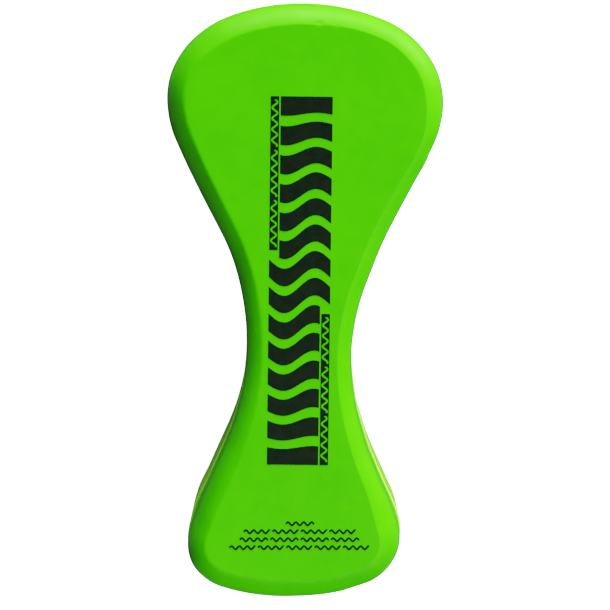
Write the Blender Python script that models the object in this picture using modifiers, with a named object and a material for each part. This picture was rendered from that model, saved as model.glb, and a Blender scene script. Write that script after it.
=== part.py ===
"""Pull buoy: a waisted float made of three laminated foam layers, with ink printed on its front face.

Metres, +Z up. The buoy lies on its back face at z = 0, so the printed face looks up. +Y runs towards the
larger lobe, X runs across, and the origin is below the middle of the outline.
"""

import math

import bmesh
import bpy

# Outline, seen from the front: a cap and two corners at each end, and a hollow waist on each side
LENGTH = 0.235
TOP_RADIUS = 0.085
UPPER_HALF_WIDTH = 0.054
UPPER_CORNER_RADIUS = 0.035
WAIST_HALF_WIDTH = 0.0208
WAIST_RADIUS = 0.100
WAIST_Y = -0.019
LOWER_HALF_WIDTH = 0.0422
LOWER_CORNER_RADIUS = 0.020
BOTTOM_RADIUS = 0.091

# Layers
THICKNESS = 0.080
SKIN_LAYER = 0.020  # each green layer, to the middle of its bond line
FILM_THICKNESS = 0.0004
FILM_INSET = 0.0015  # the adhesive stops short of the cut edge
CLEARANCE = 0.0003  # between pieces that touch on the real float

# Edges
FACE_BEVEL = 0.008
FACE_BEVEL_PROFILE = 0.4  # flatter than a quarter circle, which leaves a crease round the face
FACE_BEVEL_SEGMENTS = 6
RIM_BEVEL = 0.0008
RIM_BEVEL_SEGMENTS = 2

# Print
INK_THICKNESS = 0.0002
PRINT_LENGTH = 0.1444
PRINT_WIDTH = 0.0240
PRINT_X = -0.0008
PRINT_Y = 0.0095
PRINT_TURN = math.radians(0.9)  # the print sits a little off the float's axis
WAVE_COUNT = 14
WAVE_SHARE = 0.65  # inked share of each wave's pitch
WAVE_HEIGHT = 0.0036  # at mid-length, fading to straight edges at both ends
FULL_WIDTH_WAVES = 2  # the waves in the middle, which pass both side strips
STRIP_WIDTH = 0.0033
STRIP_GAP = 0.0006

CAUTION_X = 0.0020
CAUTION_TOP_Y = -0.0862
CAUTION_PITCH = 0.0032
CAUTION_LINE_HEIGHT = 0.0020
CAUTION_LINE_LENGTHS = (0.011, 0.044, 0.047, 0.055)
CAUTION_TURN = math.radians(1.5)

# Points on each arc of half an outline, and across one wave
TOP_STEPS = 6
UPPER_CORNER_STEPS = 15
WAIST_STEPS = 12
LOWER_CORNER_STEPS = 14
BOTTOM_STEPS = 5
WAVE_STEPS = 16

WELD_DISTANCE = 1e-6

# Base colour (linear), roughness
GREEN_FOAM = ((0.09, 0.56, 0.002), 0.52)
LIME_FOAM = ((0.30, 0.72, 0.020), 0.50)
ADHESIVE = ((0.30, 0.33, 0.05), 0.35)
INK = ((0.015, 0.025, 0.014), 0.45)


def arc(centre, radius, start, end, steps):
    """Points from one angle to another, both included."""
    turns = [start + (end - start) * step / steps for step in range(steps + 1)]
    return [(centre[0] + radius * math.cos(a), centre[1] + radius * math.sin(a)) for a in turns]


def cap_contact(cap_y, corner):
    """The angle at which a cap centred on the axis meets its corner arc."""
    return math.atan2(corner[1] - cap_y, corner[0])


def waist_contact(corner, corner_radius, waist, side):
    """The angle on a corner arc where its straight run to the waist arc starts."""
    reach = math.dist(corner, waist)
    towards = math.atan2(waist[1] - corner[1], waist[0] - corner[0])
    return towards + side * math.acos((corner_radius + WAIST_RADIUS) / reach)


def corner_centre(half_width, radius, cap_y, cap_radius, side):
    """A corner arc touches its cap from the inside, at the stated half width."""
    x = half_width - radius
    return x, cap_y + side * math.sqrt((cap_radius - radius) ** 2 - x**2)


def float_outline(inset=0.0):
    """The closed outline, moved inward by inset."""
    top_y = LENGTH / 2 - TOP_RADIUS
    bottom_y = BOTTOM_RADIUS - LENGTH / 2
    upper = corner_centre(UPPER_HALF_WIDTH, UPPER_CORNER_RADIUS, top_y, TOP_RADIUS, 1)
    lower = corner_centre(LOWER_HALF_WIDTH, LOWER_CORNER_RADIUS, bottom_y, BOTTOM_RADIUS, -1)
    waist = (WAIST_HALF_WIDTH + WAIST_RADIUS, WAIST_Y)
    upper_end = waist_contact(upper, UPPER_CORNER_RADIUS, waist, 1)
    lower_start = waist_contact(lower, LOWER_CORNER_RADIUS, waist, -1)
    top_end = cap_contact(top_y, upper)
    bottom_start = cap_contact(bottom_y, lower)

    right = arc((0, top_y), TOP_RADIUS - inset, math.pi / 2, top_end, TOP_STEPS)
    right += arc(upper, UPPER_CORNER_RADIUS - inset, top_end, upper_end, UPPER_CORNER_STEPS)[1:]
    right += arc(waist, WAIST_RADIUS + inset, upper_end + math.pi, lower_start + math.pi, WAIST_STEPS)
    right += arc(lower, LOWER_CORNER_RADIUS - inset, lower_start, bottom_start, LOWER_CORNER_STEPS)
    right += arc((0, bottom_y), BOTTOM_RADIUS - inset, bottom_start, -math.pi / 2, BOTTOM_STEPS)[1:]
    left = [(-x, y) for x, y in reversed(right[1:-1])]
    return right + left


def material(name, colour, roughness):
    made = bpy.data.materials.new(name)
    made.use_nodes = True
    shader = made.node_tree.nodes["Principled BSDF"]
    shader.inputs["Base Color"].default_value = (*colour, 1.0)
    shader.inputs["Roughness"].default_value = roughness
    shader.inputs["Metallic"].default_value = 0.0
    return made


def flat_piece(name, outline, low, high, finish, parent):
    """A closed flat outline raised from z = low to z = high."""
    curve = bpy.data.curves.new(name, "CURVE")
    curve.dimensions = "2D"
    curve.fill_mode = "BOTH"
    curve.extrude = (high - low) / 2
    spline = curve.splines.new("POLY")
    spline.points.add(len(outline) - 1)
    spline.use_cyclic_u = True
    for point, (x, y) in zip(spline.points, outline):
        point.co = (x, y, 0, 1)
    curve.materials.append(finish)
    piece = bpy.data.objects.new(name, curve)
    piece.location.z = (low + high) / 2
    piece.parent = parent
    PARTS.objects.link(piece)
    return piece


def welded(piece):
    """The curve piece as a mesh object whose caps are single faces, joined to its walls."""
    bpy.context.view_layer.update()
    evaluated = piece.evaluated_get(bpy.context.evaluated_depsgraph_get())
    mesh = bpy.data.meshes.new_from_object(evaluated)
    shape = bmesh.new()
    shape.from_mesh(mesh)
    bmesh.ops.remove_doubles(shape, verts=shape.verts, dist=WELD_DISTANCE)
    for direction in (-1, 1):
        cap = [face for face in shape.faces if face.normal.z * direction > 0.99]
        bmesh.ops.dissolve_faces(shape, faces=cap)
    shape.to_mesh(mesh)
    shape.free()
    name, old = piece.name, piece.data
    solid = bpy.data.objects.new(name, mesh)
    solid.parent = piece.parent
    solid.location = piece.location
    bpy.data.objects.remove(piece)
    bpy.data.curves.remove(old)
    solid.name = mesh.name = name
    PARTS.objects.link(solid)
    return solid


def round_edge(piece, name, upper, width, segments, profile):
    """Bevel the piece's top or bottom outline edge."""
    edge = [v.index for v in piece.data.vertices if (v.co.z > 0) == upper]
    piece.vertex_groups.new(name=name).add(edge, 1.0, "REPLACE")
    bevel = piece.modifiers.new(name, "BEVEL")
    bevel.limit_method = "VGROUP"
    bevel.vertex_group = name
    bevel.width = width
    bevel.segments = segments
    bevel.profile = profile


def foam_layer(name, low, high, finish, parent, face=None):
    """A foam layer. Its free face, "top" or "bottom", gets the broad bevel; bonded rims get a small one."""
    piece = welded(flat_piece(name, float_outline(), low, high, finish, parent))
    for side in ("top", "bottom"):
        if side != face:
            round_edge(piece, side + "_rim", side == "top", RIM_BEVEL, RIM_BEVEL_SEGMENTS, 0.5)
    if face:
        round_edge(piece, "face", face == "top", FACE_BEVEL, FACE_BEVEL_SEGMENTS, FACE_BEVEL_PROFILE)
    return piece


def turned(points, centre, angle):
    """Points turned about the origin, then moved to centre."""
    c, s = math.cos(angle), math.sin(angle)
    return [(centre[0] + x * c - y * s, centre[1] + x * s + y * c) for x, y in points]


def wave_edge(level, left, right):
    """A line across the print at a height, as one sine wave that fades to nothing at the print's ends."""
    fade = 1 - (level / (PRINT_LENGTH / 2)) ** 2
    xs = [left + (right - left) * step / WAVE_STEPS for step in range(WAVE_STEPS + 1)]
    return [(x, level + fade * WAVE_HEIGHT * math.sin(2 * math.pi * x / PRINT_WIDTH)) for x in xs]


def wave(index):
    """One inked wave, counted from the top. The waves beside a strip are shorter by its width."""
    pitch = PRINT_LENGTH / (WAVE_COUNT - 1 + WAVE_SHARE)
    top = PRINT_LENGTH / 2 - pitch * index
    edge = PRINT_WIDTH / 2
    beside = edge - STRIP_WIDTH - STRIP_GAP
    narrow = (WAVE_COUNT - FULL_WIDTH_WAVES) // 2
    left = -beside if index < narrow else -edge
    right = beside if index >= narrow + FULL_WIDTH_WAVES else edge
    upper = wave_edge(top, left, right)
    lower = wave_edge(top - pitch * WAVE_SHARE, left, right)
    return upper + lower[::-1]


def strip(side):
    """The narrow strip down one side: side is -1 for the upper left and 1 for the lower right."""
    pitch = PRINT_LENGTH / (WAVE_COUNT - 1 + WAVE_SHARE)
    length = pitch * ((WAVE_COUNT - FULL_WIDTH_WAVES) // 2 - 1 + WAVE_SHARE)
    outer = side * PRINT_WIDTH / 2
    inner = outer - side * STRIP_WIDTH
    end = -side * PRINT_LENGTH / 2
    start = end + side * length
    return [(outer, end), (inner, end), (inner, start), (outer, start)]


def box_outline(length, height):
    x, y = length / 2, height / 2
    return [(-x, -y), (x, -y), (x, y), (-x, y)]


def build_foam(root):
    green = material("green_foam", *GREEN_FOAM)
    lime = material("lime_foam", *LIME_FOAM)
    adhesive = material("adhesive", *ADHESIVE)
    half_bond = FILM_THICKNESS / 2 + CLEARANCE
    back_seam = SKIN_LAYER
    front_seam = THICKNESS - SKIN_LAYER
    foam_layer("back_foam_layer", 0, back_seam - half_bond, green, root, face="bottom")
    foam_layer("middle_foam_layer", back_seam + half_bond, front_seam - half_bond, lime, root)
    foam_layer("front_foam_layer", front_seam + half_bond, THICKNESS, green, root, face="top")
    film = float_outline(FILM_INSET)
    for name, seam in (("back_bond_film", back_seam), ("front_bond_film", front_seam)):
        flat_piece(name, film, seam - FILM_THICKNESS / 2, seam + FILM_THICKNESS / 2, adhesive, root)


def build_print(root):
    ink = material("print_ink", *INK)
    low = THICKNESS + CLEARANCE
    high = low + INK_THICKNESS
    block = (PRINT_X, PRINT_Y)
    for index in range(WAVE_COUNT):
        outline = turned(wave(index), block, PRINT_TURN)
        flat_piece(f"print_wave_{index + 1:02d}", outline, low, high, ink, root)
    for name, side in (("print_strip_left", -1), ("print_strip_right", 1)):
        flat_piece(name, turned(strip(side), block, PRINT_TURN), low, high, ink, root)
    for index, length in enumerate(CAUTION_LINE_LENGTHS):
        centre = (CAUTION_X, CAUTION_TOP_Y - CAUTION_PITCH * index)
        outline = turned(box_outline(length, CAUTION_LINE_HEIGHT), centre, CAUTION_TURN)
        flat_piece(f"caution_line_{index + 1}", outline, low, high, ink, root)


for leftover in list(bpy.data.objects):
    bpy.data.objects.remove(leftover)
PARTS = bpy.data.collections.new("pull_buoy")
bpy.context.scene.collection.children.link(PARTS)
ROOT = bpy.data.objects.new("pull_buoy", None)
PARTS.objects.link(ROOT)
build_foam(ROOT)
build_print(ROOT)
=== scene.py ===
import math

import bpy
import numpy as np
from mathutils import Matrix, Vector, noise


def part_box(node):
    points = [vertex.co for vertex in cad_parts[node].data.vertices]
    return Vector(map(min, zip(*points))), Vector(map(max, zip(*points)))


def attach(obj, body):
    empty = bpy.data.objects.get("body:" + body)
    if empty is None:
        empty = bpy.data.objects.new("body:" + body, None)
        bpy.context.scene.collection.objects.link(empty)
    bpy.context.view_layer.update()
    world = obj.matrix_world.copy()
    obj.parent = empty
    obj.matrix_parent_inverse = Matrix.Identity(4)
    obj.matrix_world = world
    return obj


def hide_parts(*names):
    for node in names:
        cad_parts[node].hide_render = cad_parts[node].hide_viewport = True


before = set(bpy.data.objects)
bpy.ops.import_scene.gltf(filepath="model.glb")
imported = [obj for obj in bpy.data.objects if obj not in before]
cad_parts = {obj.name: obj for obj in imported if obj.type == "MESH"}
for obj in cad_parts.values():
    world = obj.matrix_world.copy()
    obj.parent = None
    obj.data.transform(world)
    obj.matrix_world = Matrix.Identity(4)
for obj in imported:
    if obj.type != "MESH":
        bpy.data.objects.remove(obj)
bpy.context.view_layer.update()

# ---------------------------------------------------------------- sizes, in metres
MM = 0.001
BODY = "root"

# The same arcs as the CAD outline; the length and the upper lobe's width are read from the frame
TOP_RADIUS = 85 * MM
UPPER_CORNER_RADIUS = 35 * MM
WAIST_HALF_WIDTH = 20.8 * MM
WAIST_RADIUS = 100 * MM
WAIST_Y = -19 * MM
LOWER_HALF_WIDTH = 42.2 * MM
LOWER_CORNER_RADIUS = 20 * MM
BOTTOM_RADIUS = 91 * MM

foam_low, foam_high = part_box("front_foam_layer")
LENGTH = foam_high.y - foam_low.y
UPPER_HALF_WIDTH = foam_high.x
FACE_Z = foam_high.z


def middle_z(node):
    low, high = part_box(node)
    return (low.z + high.z) / 2


BACK_SEAM_Z = middle_z("back_bond_film")
FRONT_SEAM_Z = middle_z("front_bond_film")

STEP = 1.2 * MM  # between points along the outline
FACE_COLUMNS = 40  # faces from side to side across a face that shows, and across a hidden one
HIDDEN_COLUMNS = 6
SHARP_ANGLE = math.radians(40)

# The bevel round a green layer's face, from the top clockwise: a place on the outline, and there the
# width, the tilt in degrees where it leaves the crease, and the crease's radius. It was cut by hand.
BEVEL_STATIONS = (
    ((0, 117), 8.0, 20, 1.5),
    ((25, 113), 7.1, 20, 1.2),
    ((52, 85), 7.3, 22, 1.4),
    ((50, 62), 5.1, 24, 2.0),
    ((38, 33), 5.6, 28, 2.0),
    ((22, -15), 5.6, 28, 2.0),
    ((27, -48), 6.0, 26, 1.5),
    ((36, -65), 6.6, 24, 1.3),
    ((42, -85), 8.5, 22, 1.3),
    ((35, -106), 8.0, 22, 2.0),
    ((0, -117), 8.0, 24, 3.0),
    ((-35, -106), 7.4, 30, 3.0),
    ((-42, -90), 7.1, 30, 3.0),
    ((-34, -62), 7.4, 15, 3.5),
    ((-26, -45), 6.6, 17, 3.5),
    ((-22, -15), 6.0, 32, 3.0),
    ((-30, 20), 6.4, 43, 1.8),
    ((-42, 45), 6.8, 50, 1.6),
    ((-52, 72), 7.2, 44, 2.2),
    ((-50, 90), 6.9, 31, 4.0),
    ((-38, 107), 8.3, 22, 3.0),
)
BEVEL_END_TILT = math.radians(76)
WALL_TURN_RADIUS = 4 * MM
RIM_RADIUS = 0.7 * MM
CREASE_ROWS, BEVEL_ROWS, TURN_ROWS, WALL_ROWS, RIM_ROWS = 8, 22, 4, 10, 6

CORE_RIM_RADIUS = 0.8 * MM
CORE_RIM_ROWS, CORE_WALL_ROWS = 8, 30
CORE_PROUD = 0.35 * MM  # how far the middle layer stands out past the green ones
CORE_FLARE = 0.50 * MM  # and how much more its upper edge does on the lower flanks
FLARE_Y, FLARE_SPREAD, FLARE_DEPTH = -60 * MM, 28 * MM, 4 * MM
UNDERSIDE = 2.5 * MM  # from the rim inwards on a bonded face, before its faces run straight across

# Where the shading changes along a cross-section, in degrees of tilt: the middle and spread of a band,
# or the start and end of a change
CREASE_BAND, RIM_BAND = (14, 9), (125, 22)  # where the skin is worn
EDGE_SHADE_BAND = (75, 7)  # painted shade: a darker line along the bevel's outer edge
LIP_HIGHLIGHT_BAND = (45, 32)  # painted highlight: the middle layer's pale, bright upper edge
WALL_CHANGE = (58, 80)  # where skin gives way to cut wall
CUT_START, CUT_RANGE = 0.3, 0.65  # of the tilt's sine, where cells start to open, and how soon all are

SEAM_HALF_GAP = 0.06 * MM
FILM_HALF_THICKNESS = 0.04 * MM

INK_LIFT = 0.03 * MM
INK_THICKNESS = 0.06 * MM


# ---------------------------------------------------------------- outline
def arc(centre, radius, start, end, facing):
    """Points along an arc, with their outward directions. facing is 1 where foam fills the arc, and -1 at the
    waist."""
    count = math.ceil(abs(end - start) * radius / STEP)
    turns = np.linspace(start, end, count + 1)
    rays = np.stack([np.cos(turns), np.sin(turns)], axis=1)
    return np.array(centre) + radius * rays, rays * facing


def straight(start, end, outward):
    """Points between two ends, both left out, with one outward direction."""
    count = math.ceil(math.dist(start, end) / STEP)
    share = np.linspace(0, 1, count + 1)[1:-1, None]
    return start + share * (end - start), np.repeat(outward[None, :], count - 1, axis=0)


def corner_centre(half_width, radius, cap_y, cap_radius, side):
    x = half_width - radius
    return x, cap_y + side * math.sqrt((cap_radius - radius) ** 2 - x**2)


def waist_contact(corner, corner_radius, waist, side):
    towards = math.atan2(waist[1] - corner[1], waist[0] - corner[0])
    return towards + side * math.acos((corner_radius + WAIST_RADIUS) / math.dist(corner, waist))


def outline():
    """The closed outline from the top, clockwise: points, outward directions, and the right half's count."""
    top_y = LENGTH / 2 - TOP_RADIUS
    bottom_y = BOTTOM_RADIUS - LENGTH / 2
    upper = corner_centre(UPPER_HALF_WIDTH, UPPER_CORNER_RADIUS, top_y, TOP_RADIUS, 1)
    lower = corner_centre(LOWER_HALF_WIDTH, LOWER_CORNER_RADIUS, bottom_y, BOTTOM_RADIUS, -1)
    waist = (WAIST_HALF_WIDTH + WAIST_RADIUS, WAIST_Y)
    upper_end = waist_contact(upper, UPPER_CORNER_RADIUS, waist, 1)
    lower_start = waist_contact(lower, LOWER_CORNER_RADIUS, waist, -1)
    top_end = math.atan2(upper[1] - top_y, upper[0])
    bottom_start = math.atan2(lower[1] - bottom_y, lower[0])

    runs = [
        arc((0, top_y), TOP_RADIUS, math.pi / 2, top_end, 1),
        arc(upper, UPPER_CORNER_RADIUS, top_end, upper_end, 1),
        arc(waist, WAIST_RADIUS, upper_end + math.pi, lower_start + math.pi, -1),
        arc(lower, LOWER_CORNER_RADIUS, lower_start, bottom_start, 1),
        arc((0, bottom_y), BOTTOM_RADIUS, bottom_start, -math.pi / 2, 1),
    ]
    points, outward = [runs[0][0]], [runs[0][1]]
    for run_points, run_outward in runs[1:]:
        gap = math.dist(points[-1][-1], run_points[0])
        if gap > STEP / 10:
            filled = straight(points[-1][-1], run_points[0], run_outward[0])
            points += [filled[0], run_points]
            outward += [filled[1], run_outward]
        else:
            points.append(run_points[1:])
            outward.append(run_outward[1:])
    right, right_out = np.concatenate(points), np.concatenate(outward)
    mirror = np.array([-1, 1])
    left, left_out = (right * mirror)[-2:0:-1], (right_out * mirror)[-2:0:-1]
    return np.concatenate([right, left]), np.concatenate([right_out, left_out]), len(right)


# Where the cut outline strays from the arcs, in mm: place, spread, and how far out
STRAYS = (
    ((50.0, 64.0), 9.0, -0.45),
    ((28.0, 14.0), 13.0, 0.85),
    ((21.0, -20.0), 9.0, -0.30),
    ((32.0, -55.0), 6.0, -0.25),
    ((41.0, -78.0), 10.0, 0.75),
    ((38.0, -104.0), 8.0, -0.20),
    ((53.0, 88.0), 9.0, 0.20),
    ((14.0, -117.0), 8.0, 0.35),
    ((-40.0, 106.0), 11.0, -0.40),
    ((-49.0, 55.0), 11.0, 0.40),
    ((-30.0, 20.0), 12.0, -0.20),
    ((-40.0, -102.0), 9.0, 0.45),
    ((-40.0, 44.0), 12.0, 0.35),
    ((-53.0, 86.0), 9.0, 0.20),
    ((-42.0, -88.0), 6.0, -0.55),
    ((-41.0, -104.0), 5.0, 0.20),
    ((49.0, 57.0), 5.0, 0.38),
    ((53.0, 73.0), 5.0, -0.20),
    ((52.0, 94.0), 6.0, 0.15),
    ((20.0, -117.0), 4.0, 0.25),
    ((-38.0, 40.0), 26.0, 0.17),
    ((39.0, 104.0), 6.0, -0.15),
    ((-40.0, -107.0), 6.0, 0.12),
    ((42.5, -86.0), 4.0, -0.10),
    ((29.0, -50.0), 6.0, 0.12),
)
# The same for how much further out the middle layer's edge goes
CORE_STRAYS = (
    ((42.0, -85.0), 6.0, 0.50),
    ((-41.0, -82.0), 7.0, 0.68),
    ((31.0, -53.0), 8.0, 0.20),
)


def strayed(points, strays):
    """How far the knife went out, or in where negative, at each point of an outline."""
    push = np.zeros(len(points))
    for centre, spread, amount in strays:
        away = np.linalg.norm(points - np.array(centre) * MM, axis=1) / (spread * MM)
        push += amount * MM * np.exp(-(away**2))
    return push


RING, RING_OUT, HALF = outline()
RING = RING + RING_OUT * strayed(RING, STRAYS)[:, None]


# ---------------------------------------------------------------- irregularities of cut foam
DRIFT_2, DRIFT_3 = -0.7 * MM, -0.6 * MM  # sideways, by the square and the cube of the place along the length
END_START = 60 * MM  # beyond this the ends lean
LOWER_END_LEAN, UPPER_END_LEAN = 0.058, 0.010
BROAD_SWELL, FINE_SWELL = (32 * MM, 0.10 * MM), (7 * MM, 0.03 * MM)  # size and height
# Place on the front layer, radius and depth of each nick, in mm
NICKS = (
    ((5.0, 110.0, 79.9), 0.9, 0.40),
    ((11.5, 109.4, 79.9), 0.7, 0.18),
    ((-36.0, 92.0, 78.5), 1.4, 0.25),
    ((49.0, 60.0, 74.5), 1.2, 0.25),
    ((-20.5, -8.0, 75.0), 1.6, 0.22),
    ((33.5, -101.0, 77.0), 1.2, 0.30),
    ((-28.0, 40.0, 80.0), 2.2, 0.12),
    ((24.0, 88.0, 80.0), 1.8, 0.10),
    ((21.0, -78.0, 80.0), 2.0, 0.12),
)


def hand_cut(x, y):
    """The outline as cut: its centre line drifts by up to 1.3 mm, and its ends lean."""
    along = y / (LENGTH / 2)
    room = LENGTH / 2 - END_START
    lower = np.clip((-y - END_START) / room, 0, 1) ** 2
    upper = np.clip((y - END_START) / room, 0, 1) ** 2
    lean = LOWER_END_LEAN * lower + UPPER_END_LEAN * upper
    return x + DRIFT_2 * along**2 + DRIFT_3 * along**3, y + lean * x


def swell(point):
    """How far the foam stands proud of its nominal surface."""
    return sum(noise.noise(Vector(point) / size) * height for size, height in (BROAD_SWELL, FINE_SWELL))


def nick_depth(point):
    deep = 0.0
    for centre, radius, depth in NICKS:
        away = (Vector(point) - Vector(centre) * MM).length / (radius * MM)
        deep += depth * MM * math.exp(-(away**2))
    return deep


# ---------------------------------------------------------------- foam layers
def trace(runs):
    """Follows cross-sections from the face outward and down, all round the outline at once. Each run is
    (rows, end tilt, radius or None for straight, length). Returns the reach, drop and tilt of every row."""
    reach, drop, tilt = [np.zeros(len(RING))], [np.zeros(len(RING))], [np.zeros(len(RING))]
    for rows, end, radius, length in runs:
        start, x, d = tilt[-1], reach[-1], drop[-1]
        for k in range(1, rows + 1):
            share = k / rows
            if radius is None:
                a = start
                reach.append(x + share * length * np.cos(a))
                drop.append(d + share * length * np.sin(a))
            else:
                a = start + share * (end - start)
                reach.append(x + radius * (np.sin(a) - np.sin(start)))
                drop.append(d + radius * (np.cos(start) - np.cos(a)))
            tilt.append(a)
    return np.array(reach), np.array(drop), np.array(tilt)


def round_the_ring(column):
    """One column of the bevel's stations, eased from station to station along the outline."""
    places = [np.array(station[0]) * MM for station in BEVEL_STATIONS]
    at = [int(np.argmin(np.linalg.norm(RING - place, axis=1))) for place in places]
    values = [station[column] for station in BEVEL_STATIONS]
    at.append(at[0] + len(RING))
    values.append(values[0])
    where = (np.arange(len(RING)) - at[0]) % len(RING) + at[0]
    k = np.searchsorted(at, where, side="right") - 1
    share = (where - np.array(at)[k]) / np.diff(at)[k]
    eased = share * share * (3 - 2 * share)
    values = np.array(values, dtype=float)
    return values[k] + eased * (values[k + 1] - values[k])


def face_section(thickness, mirrored):
    """A green layer, from its face to its underside: inset from the outline, drop and tilt of each row."""
    width, tilt, crease_radius = (round_the_ring(column) for column in (1, 2, 3))
    width, tilt, crease_radius = width * MM, np.radians(tilt), crease_radius * MM
    if mirrored:
        width, tilt, crease_radius = (np.roll(values[::-1], 1) for values in (width, tilt, crease_radius))
    end = BEVEL_END_TILT
    turn = WALL_TURN_RADIUS
    ends = crease_radius * np.sin(tilt) / 2 + turn * (1 - math.sin(end))
    radius = (width - ends) / (math.sin(end) - np.sin(tilt))
    wall_start = crease_radius * (1 - np.cos(tilt)) + radius * (np.cos(tilt) - math.cos(end))
    wall_start += turn * math.cos(end)
    runs = (
        (CREASE_ROWS, tilt, crease_radius, None),
        (BEVEL_ROWS, end, radius, None),
        (TURN_ROWS, math.pi / 2, turn, None),
        (WALL_ROWS, None, None, thickness - wall_start - RIM_RADIUS),
        (RIM_ROWS, math.pi, RIM_RADIUS, None),
        (1, None, None, UNDERSIDE),
    )
    reach, drop, tilts = trace(runs)
    return reach.max(axis=0) - reach, drop, tilts


def plain_section(thickness):
    """The middle layer, from its upper bonded face to its lower one."""
    runs = (
        (1, None, None, UNDERSIDE),
        (CORE_RIM_ROWS, math.pi / 2, CORE_RIM_RADIUS, None),
        (CORE_WALL_ROWS, None, None, thickness - 2 * CORE_RIM_RADIUS),
        (CORE_RIM_ROWS, math.pi, CORE_RIM_RADIUS, None),
        (1, None, None, UNDERSIDE),
    )
    reach, drop, tilts = trace(runs)
    along = np.exp(-(((RING[:, 1] - FLARE_Y) / FLARE_SPREAD) ** 2))
    proud = CORE_PROUD + CORE_FLARE * along * np.exp(-drop / FLARE_DEPTH) + strayed(RING, CORE_STRAYS)
    return reach.max(axis=0) - reach - proud, drop, tilts


def ladder(first, columns, positions):
    """Closes the ring of vertices that starts at first with rows of quads between its left and right sides.
    Adds the inner vertices to positions and returns the faces, facing up."""
    count = len(RING)
    rows = []
    for i in range(1, HALF - 1):
        right, left = first + i, first + count - i
        inner = []
        for k in range(1, columns):
            share = k / columns
            inner.append(len(positions))
            positions.append(positions[right] * (1 - share) + positions[left] * share)
        rows.append([right, *inner, left])
    top, bottom = first, first + HALF - 1
    faces = [(top, rows[0][k + 1], rows[0][k]) for k in range(columns)]
    for above, below in zip(rows, rows[1:]):
        faces += [(above[k], above[k + 1], below[k + 1], below[k]) for k in range(columns)]
    faces += [(bottom, rows[-1][k], rows[-1][k + 1]) for k in range(columns)]
    return faces


def foam_layer(name, top_z, section, columns, flip):
    """Lofts a closed layer round the outline from its cross-section. flip turns the layer over, so that its
    face looks down from top_z."""
    count = len(RING)
    direction = 1 if flip else -1
    positions, normals, tilts = [], [], []
    for inset, drop, tilt in zip(*section):
        place = RING - RING_OUT * inset[:, None]
        positions += list(np.column_stack([place, top_z + direction * drop]))
        side, up = np.sin(tilt), -direction * np.cos(tilt)
        normals += [Vector(n) for n in np.column_stack([RING_OUT * side[:, None], up])]
        tilts += list(tilt)
    ring_rows = len(section[0])
    faces = []
    for j in range(ring_rows - 1):
        for i in range(count):
            a, b = j * count + i, j * count + (i + 1) % count
            faces.append((a, b, b + count, a + count))
    before = len(positions)
    face_cap = ladder(0, columns[0], positions)
    normals += [Vector((0, 0, -direction))] * (len(positions) - before)
    tilts += [0.0] * (len(positions) - before)
    before = len(positions)
    far_cap = ladder((ring_rows - 1) * count, columns[1], positions)
    normals += [Vector((0, 0, direction))] * (len(positions) - before)
    tilts += [math.pi] * (len(positions) - before)
    faces += face_cap + [face[::-1] for face in far_cap]
    if flip:
        faces = [face[::-1] for face in faces]
    return shaped(name, positions, normals, tilts, faces)


def band(tilts, middle, spread):
    """How far each tilt is inside a band, from 1 in its middle to 0 well outside it."""
    return np.exp(-(((tilts - math.radians(middle)) / math.radians(spread)) ** 2))


def labels(tilts):
    """What the foam's material needs to know at each vertex, from 0 to 1."""
    side = np.sin(np.clip(tilts, 0, math.pi))
    start, end = np.radians(WALL_CHANGE)
    return {
        "cut": np.clip((side - CUT_START) / CUT_RANGE, 0, 1),
        "wear": np.maximum(band(tilts, *CREASE_BAND), band(tilts, *RIM_BAND)),
        "wall": np.clip((tilts - start) / (end - start), 0, 1),
        # painted shade: a darker line along the bevel's outer edge
        "edge": band(tilts, *EDGE_SHADE_BAND),
        # painted highlight: the middle layer's pale, bright upper edge
        "lip": band(tilts, *LIP_HIGHLIGHT_BAND),
    }


def add_piece(name, mesh):
    piece = bpy.data.objects.new(name, mesh)
    bpy.context.scene.collection.objects.link(piece)
    return piece


def shaped(name, positions, normals, tilts, faces):
    """Moves the nominal surface by the swell and the nicks, cuts it as by hand, and makes the piece."""
    placed = []
    for place, normal in zip(positions, normals):
        x, y, z = Vector(place) + normal * (swell(place) - nick_depth(place))
        x, y = hand_cut(x, y)
        placed.append((x, y, z))
    mesh = bpy.data.meshes.new(name)
    mesh.from_pydata(placed, [], faces)
    mesh.shade_smooth()
    for label, values in labels(np.array(tilts)).items():
        mesh.attributes.new(label, "FLOAT", "POINT").data.foreach_set("value", values.astype(np.float32))
    return add_piece(name, mesh)


# ---------------------------------------------------------------- bond films
FILM_INSET, FILM_WANDER, FILM_WANDER_SIZE = 1.1 * MM, 0.45 * MM, 6 * MM


def bond_film(name, z):
    """The glue line, which stops a varying distance short of the cut edge."""
    wander = np.array([noise.noise(Vector((x, y, z)) / FILM_WANDER_SIZE) for x, y in RING])
    edge = RING - RING_OUT * (FILM_INSET + FILM_WANDER * wander)[:, None]
    positions = []
    for side in (1, -1):
        x, y = hand_cut(edge[:, 0], edge[:, 1])
        positions += list(np.stack([x, y, np.full(len(x), z + side * FILM_HALF_THICKNESS)], axis=1))
    count = len(RING)
    faces = [(i, (i + 1) % count, (i + 1) % count + count, i + count) for i in range(count)]
    upper = ladder(0, HIDDEN_COLUMNS, positions)
    lower = ladder(count, HIDDEN_COLUMNS, positions)
    mesh = bpy.data.meshes.new(name)
    mesh.from_pydata([tuple(p) for p in positions], [], faces + upper + [face[::-1] for face in lower])
    mesh.shade_smooth()
    mesh.set_sharp_from_angle(angle=SHARP_ANGLE)
    return add_piece(name, mesh)


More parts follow.
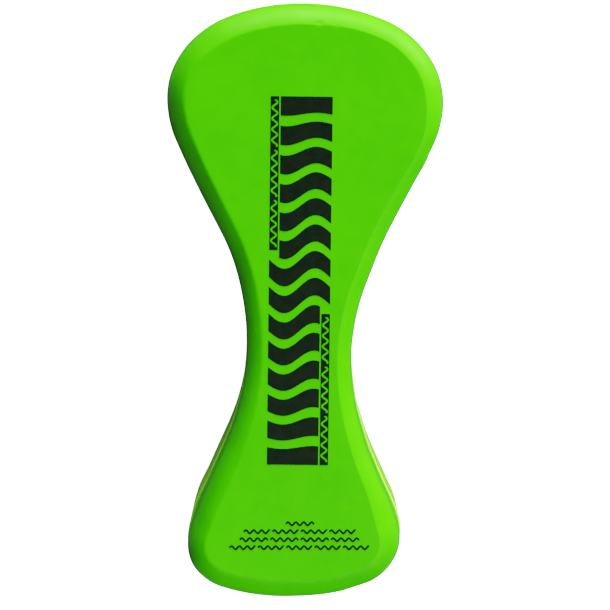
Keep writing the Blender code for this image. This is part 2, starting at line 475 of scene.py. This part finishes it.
# ---------------------------------------------------------------- print
PRINT_LENGTH = 144.4 * MM
PRINT_WIDTH = 24 * MM
PRINT_CENTRE = (-0.8 * MM, 9.5 * MM)
PRINT_TURN = math.radians(0.9)
WAVE_COUNT = 14
WAVE_SHARE = 0.65  # inked share of each wave's pitch
WAVE_HEIGHT = 3.6 * MM
FULL_WIDTH_WAVES = 2  # the waves in the middle, which pass both side strips
NARROW_WAVES = (WAVE_COUNT - FULL_WIDTH_WAVES) // 2  # beside each strip
WAVE_STEP, WAVE_ROWS = 0.3 * MM, 8
STRIP_WIDTH = 3.3 * MM
STRIP_GAP = 0.6 * MM
WAVE_PITCH = PRINT_LENGTH / (WAVE_COUNT - 1 + WAVE_SHARE)
STRIP_LENGTH = WAVE_PITCH * (NARROW_WAVES - 1 + WAVE_SHARE)

CAUTION_CENTRE_X = 2.0 * MM
CAUTION_TOP_Y = -86.2 * MM
CAUTION_PITCH = 3.2 * MM
CAUTION_LENGTHS = (11 * MM, 44 * MM, 47 * MM, 55 * MM)
CAUTION_TURN = math.radians(1.5)
CAUTION_RUN, CAUTION_GAP = 11 * MM, 1.0 * MM
CAUTION_ROWS = 2

# Stroke, half-height and wavelength of the small ripples: in the caution lines, and left bare in the strips
LINE_RIPPLE = (0.72 * MM, 0.62 * MM, 3.1 * MM)
STRIP_RIPPLE = (0.78 * MM, 1.0 * MM, 4.2 * MM)
RIPPLE_STEP = 0.12 * MM
STRIP_RUNS = 3  # of ripple in each strip, with inked margins between and beyond them
STRIP_MARGIN, STRIP_MARGIN_STEPS = 1.2 * MM, 4
BLEED, BLEED_SIZE = 0.05 * MM, 0.7 * MM  # how far the ink's edge wanders, and over what length


def face_z(x, y):
    """The front face's height under a point of the print."""
    return FACE_Z + swell((x, y, FACE_Z)) - nick_depth((x, y, FACE_Z))


def patch(rows, bare=None):
    """A flat sheet through rows of as many points, from the top down: its points, and its faces seen from
    above. bare tells, for each step along the rows, whether the middle row of faces is left out there."""
    length = len(rows[0])
    quads = []
    for j in range(len(rows) - 1):
        for i in range(length - 1):
            if bare is not None and bare[i] and j == len(rows) // 2 - 1:
                continue
            a = j * length + i
            quads.append((a + length, a + length + 1, a + 1, a))
    return [point for row in rows for point in row], quads


def ribbon(edge_a, edge_b, count):
    """The patch between two edges of as many points, count faces across."""
    rows = []
    for k in range(count + 1):
        share = k / count
        pairs = zip(edge_a, edge_b)
        rows.append([(ax + (bx - ax) * share, ay + (by - ay) * share) for (ax, ay), (bx, by) in pairs])
    return patch(rows)


def ink_piece(name, patches, centre, turn):
    """One ink island from patches. It follows the foam's face and is closed all round."""
    c, s = math.cos(turn), math.sin(turn)
    positions, faces = [], []
    for points, quads in patches:
        first, under = len(positions), len(positions) + len(points)
        for height in (INK_THICKNESS, 0.0):
            for u, v in points:
                x, y = centre[0] + u * c - v * s, centre[1] + u * s + v * c
                positions.append((x, y, face_z(x, y) + INK_LIFT + height))
        faces += [tuple(first + i for i in quad) for quad in quads]
        faces += [tuple(under + i for i in quad[::-1]) for quad in quads]
        edges = [edge for quad in quads for edge in zip(quad, quad[1:] + quad[:1])]
        shared = set(edges)
        faces += [(first + b, first + a, under + a, under + b) for a, b in edges if (b, a) not in shared]
    mesh = bpy.data.meshes.new(name)
    mesh.from_pydata(positions, [], faces)
    mesh.validate()
    mesh.shade_smooth()
    mesh.set_sharp_from_angle(angle=SHARP_ANGLE)
    return add_piece(name, mesh)


def bleed(x, y):
    """How far the ink's edge wanders on the foam's cells."""
    return BLEED * noise.noise(Vector((x, y, 0.3)) / BLEED_SIZE)


def wave(index):
    """One broad wave. Its edges fade to straight lines at the print's two ends."""
    top = PRINT_LENGTH / 2 - WAVE_PITCH * index
    edge = PRINT_WIDTH / 2
    beside = edge - STRIP_WIDTH - STRIP_GAP
    left = -beside if index < NARROW_WAVES else -edge
    right = beside if index >= NARROW_WAVES + FULL_WIDTH_WAVES else edge
    xs = np.linspace(left, right, round((right - left) / WAVE_STEP))
    edges = []
    for level in (top, top - WAVE_PITCH * WAVE_SHARE):
        fade = 1 - (level / (PRINT_LENGTH / 2)) ** 2
        ys = level + fade * WAVE_HEIGHT * np.sin(2 * math.pi * xs / PRINT_WIDTH)
        edges.append([(x, y + bleed(x, y)) for x, y in zip(xs, ys)])
    return ribbon(*edges, WAVE_ROWS)


def ripple(start, end, style):
    """The two edges of a small ripple along x."""
    stroke, height, wavelength = style
    xs = np.linspace(start, end, round((end - start) / RIPPLE_STEP) + 1)
    turn = 2 * math.pi / wavelength
    slope = height * turn * np.cos(turn * (xs - start))
    size = np.sqrt(1 + slope**2)
    line = np.stack([xs, height * np.sin(turn * (xs - start))], axis=1)
    aside = np.stack([-slope / size, 1 / size], axis=1) * stroke / 2
    return line + aside, line - aside


def caution_line(length):
    """A line of ripples in short runs, a little apart."""
    runs = max(1, round(length / CAUTION_RUN))
    run = (length - CAUTION_GAP * (runs - 1)) / runs
    patches = []
    for k in range(runs):
        start = -length / 2 + k * (run + CAUTION_GAP)
        edges = [[(x, y + bleed(x, y)) for x, y in edge] for edge in ripple(start, start + run, LINE_RIPPLE)]
        patches.append(ribbon(*edges, CAUTION_ROWS))
    return patches


def strip(side):
    """A narrow strip with ripples left bare in it, drawn along x and turned upright."""
    half = STRIP_WIDTH / 2
    run = (STRIP_LENGTH - STRIP_MARGIN * (STRIP_RUNS + 1)) / STRIP_RUNS
    xs, bare, upper, lower = [np.array([-STRIP_LENGTH / 2])], [], [], []
    for k in range(STRIP_RUNS + 1):
        start = -STRIP_LENGTH / 2 + k * (run + STRIP_MARGIN)
        xs.append(np.linspace(start, start + STRIP_MARGIN, STRIP_MARGIN_STEPS + 1)[1:])
        bare += [False] * STRIP_MARGIN_STEPS
        if k < STRIP_RUNS:
            steps = round(run / RIPPLE_STEP)
            start += STRIP_MARGIN
            xs.append(np.linspace(start, start + run, steps + 1)[1:])
            bare += [True] * steps
            edges = ripple(start, start + run, STRIP_RIPPLE)
            upper.append(edges[0])
            lower.append(edges[1])
    xs = np.concatenate(xs)
    upper, lower = ([np.interp(xs, *np.concatenate(edges).T) for edges in (upper, lower)])
    across = (half + 0 * xs, (half + upper) / 2, upper, lower, (lower - half) / 2, 0 * xs - half)
    x = side * (PRINT_WIDTH / 2 - STRIP_WIDTH / 2)
    y = -side * (PRINT_LENGTH / 2 - STRIP_LENGTH / 2)
    return patch([[(x + v, y - u) for u, v in zip(xs, row)] for row in across], bare)


# ---------------------------------------------------------------- materials
GREEN = (0.090, 0.56, 0.002)
LIME = (0.30, 0.72, 0.020)
LIME_DEEP = (0.22, 0.58, 0.010)

# Each foam's colour wanders to deep and pale. On its cut side, wall is darker cut foam and painted shade, and
# edge is painted shade along the bevel's outer edge; the middle layer's pale upper edge is a painted
# highlight. sheen is the whitish haze that cut foam has at grazing angles.
FOAMS = {
    "green_foam": {
        "colour": GREEN,
        "deep": (0.060, 0.45, 0.001),
        "pale": (0.14, 0.66, 0.01),
        # the cut side: darker cut foam, and painted shade
        "wall": (0.065, 0.40, 0.001),
        # painted shade: a darker line along the bevel's outer edge
        "edge": (0.012, 0.13, 0.001),
        "lip": None,
        "roughness": 0.52,
        "shine": 0.21,
        "sheen": 0.45,
    },
    "lime_foam": {
        "colour": LIME,
        "deep": LIME_DEEP,
        "pale": (0.42, 0.80, 0.060),
        # the cut side: darker cut foam, and painted shade
        "wall": LIME_DEEP,
        # painted shade: a darker line along the bevel's outer edge
        "edge": LIME_DEEP,
        # painted highlight: the pale, bright line along the middle layer's upper edge
        "lip": (0.42, 0.97, 0.18),
        "roughness": 0.5,
        "shine": 0.5,
        "sheen": 0.22,
    },
}
CELL_SIZE = 0.42 * MM
CLOUD_SIZE, CLOUD_SHARE = 45 * MM, 0.35
MOTTLE_SIZE, MOTTLE_SHARE = 6 * MM, 0.12
SKIN_PORES, CUT_PORES = 0.10, 0.45  # how much the cells show on the skin, and where it is cut
# shares of painted shade: the cut side's darker colour, partly cut foam's own, and the darker line along the
# bevel's outer edge
WALL_CUT_AND_SHADE_SHARE, EDGE_SHADE_SHARE = 0.7, 0.2
SCUFF_SIZE, SCUFF_SHARE = 2.2 * MM, 0.35
ROUGH_SIZE, ROUGH_RANGE = 9 * MM, 0.05
GRAIN_SIZE, GRAIN_DEPTH = 0.5 * MM, 0.02 * MM
SKIN_GRAIN, INK_GRAIN = 0.6, 0.5  # strengths of the fine grain
PORE_DEPTH, SKIN_DIMPLES, CUT_DIMPLES = 0.06 * MM, 0.25, 0.8
SAW_PITCH, SAW_DEPTH, SAW_STRENGTH = 4.0 * MM, 0.02 * MM, 0.35
FACE_HAZE, WALL_HAZE = 0.1, 0.12  # shares of the sheen that the flat face and the side wall keep

FILM_DARK, FILM_PALE = (0.10, 0.14, 0.01), (0.30, 0.33, 0.05)
STREAK_SIZE = 3 * MM

INK, INK_THIN, INK_GREY = (0.011, 0.023, 0.014), (0.018, 0.030, 0.016), (0.05, 0.07, 0.045)
INK_SHINE = 0.25
GREY_SHARE = 0.35
GAP_SPACING = 0.55 * MM


class Shader:
    """A node material under construction. An input given as a socket is linked; any other value is set."""

    def __init__(self, name):
        self.material = bpy.data.materials.new(name)
        self.material.use_nodes = True
        self.tree = self.material.node_tree
        self.surface = self.tree.nodes["Principled BSDF"]
        self.place = self.add("ShaderNodeTexCoord").outputs["Object"]

    def fill(self, node, inputs):
        for key, value in inputs.items():
            if isinstance(value, bpy.types.NodeSocket):
                self.tree.links.new(value, node.inputs[key])
            else:
                node.inputs[key].default_value = value

    def add(self, kind, inputs=None, **settings):
        node = self.tree.nodes.new(kind)
        for key, value in settings.items():
            setattr(node, key, value)
        self.fill(node, inputs or {})
        return node

    def noise(self, size, detail=2.0, roughness=0.5):
        """Soft noise whose blobs are about size metres across."""
        inputs = {"Vector": self.place, "Scale": 1 / size, "Detail": detail, "Roughness": roughness}
        return self.add("ShaderNodeTexNoise", inputs).outputs["Fac"]

    def cells(self, size):
        """Distance to the middle of the nearest foam cell, 0 in its middle."""
        inputs = {"Vector": self.place, "Scale": 1 / size}
        return self.add("ShaderNodeTexVoronoi", inputs).outputs["Distance"]

    def stretch(self, value, low, high, to_low=0.0, to_high=1.0):
        inputs = {"Value": value, "From Min": low, "From Max": high, "To Min": to_low, "To Max": to_high}
        return self.add("ShaderNodeMapRange", inputs).outputs["Result"]

    def times(self, a, b):
        return self.add("ShaderNodeMath", {0: a, 1: b}, operation="MULTIPLY").outputs["Value"]

    def mix(self, share, a, b):
        node = self.add("ShaderNodeMix", data_type="RGBA")
        self.fill(node, {"Factor": share})
        for key, value in ((6, a), (7, b)):
            if isinstance(value, bpy.types.NodeSocket):
                self.tree.links.new(value, node.inputs[key])
            else:
                node.inputs[key].default_value = (*value, 1.0)
        return node.outputs[2]

    def attribute(self, name):
        return self.add("ShaderNodeAttribute", attribute_name=name).outputs["Fac"]

    def bump(self, height, depth, strength, under=None):
        inputs = {"Height": height, "Distance": depth, "Strength": strength}
        if under is not None:
            inputs["Normal"] = under
        return self.add("ShaderNodeBump", inputs).outputs["Normal"]

    def finish(self, **inputs):
        self.fill(self.surface, {key.replace("_", " "): value for key, value in inputs.items()})
        return self.material


def foam_colour(s, look, cells):
    clouds = s.stretch(s.noise(CLOUD_SIZE, 2), 0.3, 0.7)
    mottle = s.stretch(s.noise(MOTTLE_SIZE, 3), 0.35, 0.65)
    pores = s.stretch(cells, 0.28, 0.02)
    scuffs = s.stretch(s.noise(SCUFF_SIZE, 4, 0.65), 0.52, 0.72)
    open_cells = s.stretch(s.attribute("cut"), 0.0, 1.0, SKIN_PORES, CUT_PORES)
    base = s.mix(s.times(clouds, CLOUD_SHARE), look["colour"], look["deep"])
    base = s.mix(s.times(mottle, MOTTLE_SHARE), base, look["pale"])
    base = s.mix(s.times(pores, open_cells), base, look["deep"])
    # darker on the side wall: cut foam's own colour, and painted shade
    base = s.mix(s.times(s.attribute("wall"), WALL_CUT_AND_SHADE_SHARE), base, look["wall"])
    # painted shade: a darker line along the bevel's outer edge
    base = s.mix(s.times(s.attribute("edge"), EDGE_SHADE_SHARE), base, look["edge"])
    # painted highlight: a pale, bright line along the middle layer's upper edge
    if look["lip"]:
        base = s.mix(s.attribute("lip"), base, look["lip"])
    return s.mix(s.times(scuffs, s.times(s.attribute("wear"), SCUFF_SHARE)), base, look["pale"])


def foam_relief(s, cells):
    """A fine grain, the cells' dimples, and faint saw lines where the foam was cut."""
    cut = s.attribute("cut")
    skin = s.bump(s.noise(GRAIN_SIZE, 3, 0.6), GRAIN_DEPTH, SKIN_GRAIN)
    opened = s.stretch(cut, 0.0, 1.0, SKIN_DIMPLES, CUT_DIMPLES)
    dimples = s.bump(s.stretch(cells, 0.0, 0.45), PORE_DEPTH, opened, skin)
    settings = {"Vector": s.place, "Scale": 1 / SAW_PITCH, "Distortion": 2.0, "Detail": 2.0}
    saw = s.add("ShaderNodeTexWave", settings, wave_type="BANDS", bands_direction="Z").outputs["Fac"]
    return s.bump(saw, SAW_DEPTH, s.times(cut, SAW_STRENGTH), dimples)


def foam_haze(s, sheen):
    """The sheen's weight, which is full on the bevel and faint on the flat face and the side wall."""
    off_face = s.stretch(s.attribute("cut"), 0.0, 0.4, sheen * FACE_HAZE, sheen)
    off_wall = s.stretch(s.attribute("wall"), 0.1, 0.8, 1.0, WALL_HAZE)
    return s.times(off_face, off_wall)


def foam_material(name):
    """Closed-cell foam: a fine skin on the faces, and opened cells and faint saw lines where it was cut."""
    look = FOAMS[name]
    s = Shader(name)
    cells = s.cells(CELL_SIZE)
    smooth, rough = look["roughness"] - ROUGH_RANGE, look["roughness"] + ROUGH_RANGE
    return s.finish(
        Base_Color=foam_colour(s, look, cells),
        Roughness=s.stretch(s.noise(ROUGH_SIZE, 3), 0.3, 0.7, smooth, rough),
        Normal=foam_relief(s, cells),
        Specular_IOR_Level=look["shine"],
        Sheen_Weight=foam_haze(s, look["sheen"]),
        Sheen_Roughness=0.3,
    )


def film_material():
    """Dried adhesive: amber-green, glossy and streaky."""
    s = Shader("bond_adhesive")
    streaks = s.stretch(s.noise(STREAK_SIZE, 3), 0.3, 0.7)
    return s.finish(
        Base_Color=s.mix(streaks, FILM_DARK, FILM_PALE),
        Roughness=s.stretch(streaks, 0.0, 1.0, 0.3, 0.5),
        Normal=s.bump(s.noise(0.8 * MM, 2), 0.03 * MM, 0.7),
    )


def ink_material():
    """Screen-print ink: thin, a little uneven, with pin-sized gaps where it missed a cell."""
    s = Shader("print_ink")
    body = s.mix(s.stretch(s.noise(5 * MM, 3), 0.3, 0.7), INK, INK_THIN)
    grain = s.stretch(s.noise(0.35 * MM, 2, 0.6), 0.60, 0.75)
    body = s.mix(s.times(grain, GREY_SHARE), body, INK_GREY)
    gaps = s.stretch(s.cells(GAP_SPACING), 0.10, 0.03)
    some = s.stretch(s.noise(1.6 * MM, 2), 0.56, 0.62)
    skin = s.bump(s.noise(GRAIN_SIZE, 3, 0.6), GRAIN_DEPTH, INK_GRAIN)
    return s.finish(
        Base_Color=s.mix(s.times(gaps, some), body, GREEN),
        Roughness=s.stretch(s.noise(2 * MM, 2), 0.3, 0.7, 0.42, 0.58),
        Normal=s.bump(s.stretch(s.cells(CELL_SIZE), 0.0, 0.45), 0.04 * MM, 0.3, skin),
        Specular_IOR_Level=INK_SHINE,
    )


# ---------------------------------------------------------------- the pieces
def dress(piece, material, slot, *nodes):
    piece.data.materials.append(material)
    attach(piece, BODY)
    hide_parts(*nodes)


def build_foam():
    green, lime = foam_material("green_foam"), foam_material("lime_foam")
    skin = FACE_Z - FRONT_SEAM_Z - SEAM_HALF_GAP
    core = FRONT_SEAM_Z - BACK_SEAM_Z - 2 * SEAM_HALF_GAP
    core_top = FRONT_SEAM_Z - SEAM_HALF_GAP
    columns, hidden = (FACE_COLUMNS, HIDDEN_COLUMNS), (HIDDEN_COLUMNS, HIDDEN_COLUMNS)
    front = foam_layer("front_layer", FACE_Z, face_section(skin, False), columns, False)
    back = foam_layer("back_layer", 0.0, face_section(skin, True), columns, True)
    middle = foam_layer("middle_layer", core_top, plain_section(core), hidden, False)
    for piece, material, slot, node in (
        (front, green, "green_foam", "front_foam_layer"),
        (back, green, "green_foam", "back_foam_layer"),
        (middle, lime, "lime_foam", "middle_foam_layer"),
    ):
        dress(piece, material, slot, node)


def build_films():
    adhesive = film_material()
    for name, node, z in (
        ("front_glue_line", "front_bond_film", FRONT_SEAM_Z),
        ("back_glue_line", "back_bond_film", BACK_SEAM_Z),
    ):
        dress(bond_film(name, z), adhesive, "adhesive", node)


def build_print():
    ink = ink_material()
    for index in range(WAVE_COUNT):
        piece = ink_piece(f"wave_{index + 1:02d}", [wave(index)], PRINT_CENTRE, PRINT_TURN)
        dress(piece, ink, "print_ink", f"print_wave_{index + 1:02d}")
    for name, side in (("left", -1), ("right", 1)):
        piece = ink_piece(f"ripple_strip_{name}", [strip(side)], PRINT_CENTRE, PRINT_TURN)
        dress(piece, ink, "print_ink", f"print_strip_{name}")
    for index, length in enumerate(CAUTION_LENGTHS):
        centre = (CAUTION_CENTRE_X, CAUTION_TOP_Y - CAUTION_PITCH * index)
        piece = ink_piece(f"ripple_line_{index + 1}", caution_line(length), centre, CAUTION_TURN)
        dress(piece, ink, "print_ink", f"caution_line_{index + 1}")


# ---------------------------------------------------------------- camera, light and floor
CAMERA_HEIGHT = 1.0  # above the printed face
CAMERA_PLACE = Vector((-6.5 * MM, 109.6 * MM, FACE_Z + CAMERA_HEIGHT))
CAMERA_AIM = Vector((1.55 * MM, 0.57 * MM, FACE_Z))
CAMERA_ROLL = 0.028
CAMERA_LENS = 152.0
FLOOR_RADIUS, FLOOR_SIDES = 6, 96


def add_camera():
    data = bpy.data.cameras.new("camera")
    data.lens = CAMERA_LENS
    camera = bpy.data.objects.new("camera", data)
    bpy.context.scene.collection.objects.link(camera)
    ahead = (CAMERA_AIM - CAMERA_PLACE).normalized()
    right = ahead.cross(Vector((0, 1, 0))).normalized()
    up = right.cross(ahead)
    c, s = math.cos(CAMERA_ROLL), math.sin(CAMERA_ROLL)
    axes = Matrix((right * c + up * s, up * c - right * s, -ahead)).transposed().to_4x4()
    camera.matrix_world = Matrix.Translation(CAMERA_PLACE) @ axes
    bpy.context.scene.camera = camera


# Place, size and power in watts of each soft light round the part
LIGHTS = {
    "top_rim": ((0.0, 1.5, 0.25), (1.0, 0.4), 54),
    "top_right_rim": ((1.05, 1.05, 0.2), (0.8, 0.4), 50),
    "top_soft": ((0.0, 1.4, 0.9), (1.0, 0.5), 23),
    "high_top_right": ((0.9, 0.9, 1.3), (0.8, 0.8), 7),
    "high_bottom_right": ((0.9, -0.9, 1.3), (0.8, 0.8), 42),
    "high_bottom": ((0.0, -1.2, 1.3), (0.8, 0.8), 18),
    "left_fill": ((-1.5, 0.0, 0.2), (1.0, 0.4), 1.7),
    "floor_bounce": ((0.0, 0.0, -0.02), (4.0, 4.0), 14),
}
LIGHTS_AIM = Vector((0, 0, 0.05))

TOE = 0.50  # the brightness below which shade deepens
SHOULDER = 0.865  # how soon highlights bend towards white
WHITE = 4.0  # the scene brightness that is shown as white
TONE_POINTS = 40


def add_lights():
    for name, (place, size, power) in LIGHTS.items():
        data = bpy.data.lights.new(name, "AREA")
        data.shape = "RECTANGLE"
        data.size, data.size_y = size
        data.energy = power
        panel = bpy.data.objects.new(name, data)
        bpy.context.scene.collection.objects.link(panel)
        panel.location = place
        panel.rotation_mode = "QUATERNION"
        panel.rotation_quaternion = (LIGHTS_AIM - Vector(place)).to_track_quat("-Z", "Y")


def add_world():
    """A white surround, which only the camera sees: the soft lights do the lighting."""
    world = bpy.data.worlds.new("studio")
    world.use_nodes = True
    background = world.node_tree.nodes["Background"]
    background.inputs["Color"].default_value = (1, 1, 1, 1)
    background.inputs["Strength"].default_value = WHITE
    world.cycles_visibility.diffuse = False
    world.cycles_visibility.glossy = False
    bpy.context.scene.world = world


def tone(x):
    """The tone curve: a soft toe that deepens the shade, and a long shoulder for the highlights."""
    x = x * x / (x + TOE)
    return x / (1 + x**SHOULDER) ** (1 / SHOULDER)


def set_tone():
    view = bpy.context.scene.view_settings
    view.view_transform = "Standard"
    view.use_curve_mapping = True
    mapping = view.curve_mapping
    mapping.clip_max_x = WHITE
    mapping.extend = "HORIZONTAL"
    for curve in mapping.curves[:3]:
        curve.points[-1].location = (WHITE, 1.0)
        for k in range(1, TONE_POINTS):
            x = WHITE * (k / TONE_POINTS) ** 2
            curve.points.new(x, tone(x) / tone(WHITE))
    mapping.update()


def add_floor():
    s = Shader("studio_floor")
    base = s.mix(s.stretch(s.noise(0.3, 2), 0.3, 0.7), (0.90, 0.90, 0.90), (0.92, 0.92, 0.92))
    material = s.finish(Base_Color=base, Roughness=0.9)
    s.fill(s.surface, {"Emission Color": (1, 1, 1, 1), "Emission Strength": WHITE})
    bpy.ops.mesh.primitive_circle_add(vertices=FLOOR_SIDES, radius=FLOOR_RADIUS, fill_type="NGON")
    floor = bpy.context.object
    floor.name = "studio_floor"
    floor.data.materials.append(material)
    floor.visible_diffuse = False
    floor.visible_glossy = False
    floor.visible_shadow = False


set_tone()
add_camera()
build_foam()
build_films()
build_print()
add_lights()
add_world()
add_floor()
